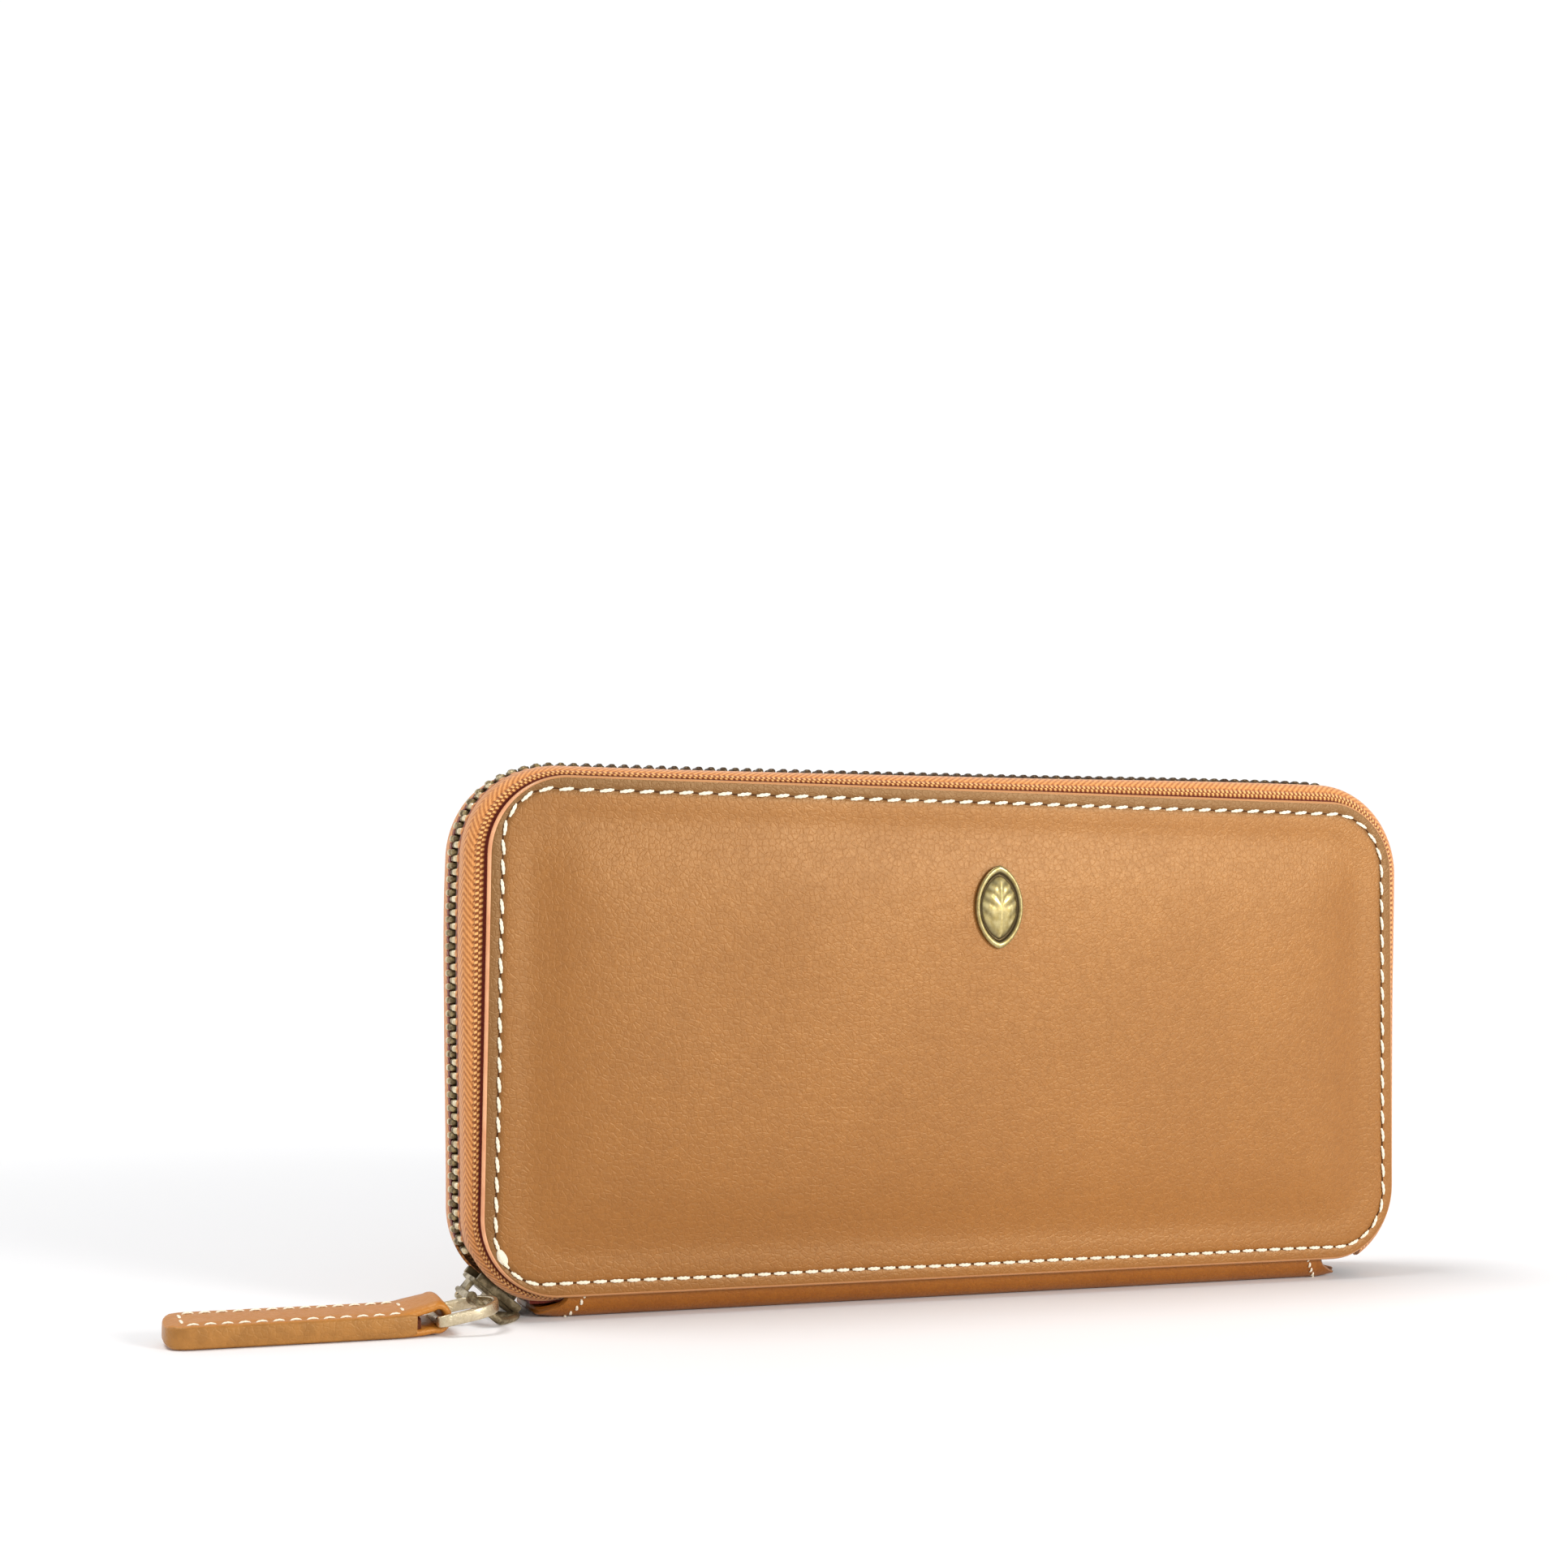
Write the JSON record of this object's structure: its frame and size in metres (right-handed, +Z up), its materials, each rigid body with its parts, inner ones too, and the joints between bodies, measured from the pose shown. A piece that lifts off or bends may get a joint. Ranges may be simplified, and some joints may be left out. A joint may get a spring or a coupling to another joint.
{
  "type": "zip around wallet",
  "caption": "Long zip-around wallet in smooth tan leather, standing on its spine, with a metal zip round three sides and a leather pull tab.",
  "frame": {"origin": "middle of the flat underside of the spine, on the floor", "axes": "+X along the length toward the end away from the slider, +Y from the front cover to the back cover, +Z up"},
  "size_m": [0.2539, 0.0349, 0.1035],
  "materials": {
    "tan_leather": "smooth, waxed",
    "pocket_leather": "matte",
    "lining_cloth": "woven",
    "padding_felt": "matte",
    "zip_tape": "herringbone weave",
    "antique_brass": "antiqued",
    "polished_brass": "brushed"
  },
  "bodies": {
    "spine": {"spine_wrap": "tan_leather", "spine_lining": "lining_cloth", "front_tape_tail": "zip_tape", "back_tape_tail": "zip_tape", "zip_bottom_stop": "antique_brass", "left_front_gusset": "lining_cloth", "left_back_gusset": "lining_cloth", "right_front_gusset": "lining_cloth", "right_back_gusset": "lining_cloth", "coin_pocket_front_wall": "lining_cloth", "coin_pocket_back_wall": "lining_cloth", "coin_pocket_base_seam": "lining_cloth", "coin_pocket_left_seam": "lining_cloth", "coin_pocket_right_seam": "lining_cloth", "coin_zip_front_tape": "zip_tape", "coin_zip_back_tape": "zip_tape", "coin_zip_front_teeth": "antique_brass", "coin_zip_back_teeth": "antique_brass"},
    "front_half": {"front_cover": "tan_leather", "front_padding": "padding_felt", "front_lining": "lining_cloth", "front_zip_tape": "zip_tape", "front_zip_teeth": "antique_brass", "front_card_panel": "pocket_leather", "front_left_card_slot_1": "pocket_leather", "front_right_card_slot_1": "pocket_leather", "front_left_card_slot_2": "pocket_leather", "front_right_card_slot_2": "pocket_leather", "front_left_card_slot_3": "pocket_leather", "front_right_card_slot_3": "pocket_leather", "front_emblem": "polished_brass"},
    "back_half": {"back_cover": "tan_leather", "back_padding": "padding_felt", "back_lining": "lining_cloth", "back_zip_tape": "zip_tape", "back_zip_teeth": "antique_brass", "back_card_panel": "pocket_leather", "back_left_card_slot_1": "pocket_leather", "back_right_card_slot_1": "pocket_leather", "back_left_card_slot_2": "pocket_leather", "back_right_card_slot_2": "pocket_leather", "back_left_card_slot_3": "pocket_leather", "back_right_card_slot_3": "pocket_leather"},
    "zip_slider": {"zip_slider_body": "antique_brass"},
    "pull_bail_body": {"pull_bail": "antique_brass"},
    "pull_ring_body": {"pull_ring": "antique_brass"},
    "pull_tab_body": {"pull_tab_strap": "tan_leather", "pull_tab_filler": "padding_felt"},
    "coin_slider": {"coin_zip_slider": "antique_brass"},
    "coin_pull": {"coin_zip_pull": "antique_brass"}
  },
  "joints": [
    {"name": "front_opening", "type": "hinge", "parent": "spine", "child": "front_half", "pos_m": [0, -0.0095, 0.0036], "axis": [1, 0, 0], "range_deg": [0, 35]},
    {"name": "back_opening", "type": "hinge", "parent": "spine", "child": "back_half", "pos_m": [0, 0.0095, 0.0036], "axis": [-1, 0, 0], "range_deg": [0, 35]},
    {"name": "slider_travel", "type": "hinge", "parent": "spine", "child": "zip_slider", "pos_m": [-0.083, 0, 0.0192], "axis": [0, 1, 0], "range_deg": [0, 49]},
    {"name": "bail_swing", "type": "hinge", "parent": "zip_slider", "child": "pull_bail_body", "pos_m": [-0.09717, 0, 0.0029], "axis": [0.7547, 0, -0.6561], "range_deg": [0, 90]},
    {"name": "ring_swing", "type": "hinge", "parent": "pull_bail_body", "child": "pull_ring_body", "pos_m": [-0.09717, -0.0135, 0.0029], "axis": [0.7547, 0, -0.6561], "range_deg": [-15, 15]},
    {"name": "tab_swing", "type": "hinge", "parent": "pull_ring_body", "child": "pull_tab_body", "pos_m": [-0.1073, -0.0155, 0.0026], "axis": [0, 1, 0], "range_deg": [-60, 90]},
    {"name": "coin_slider_travel", "type": "slide", "parent": "spine", "child": "coin_slider", "axis": [1, 0, 0], "range_m": [0, 0.15]},
    {"name": "coin_pull_swing", "type": "hinge", "parent": "coin_slider", "child": "coin_pull", "pos_m": [-0.0755, 0, 0.08875], "axis": [0, -1, 0], "range_deg": [0, 150]}
  ]
}
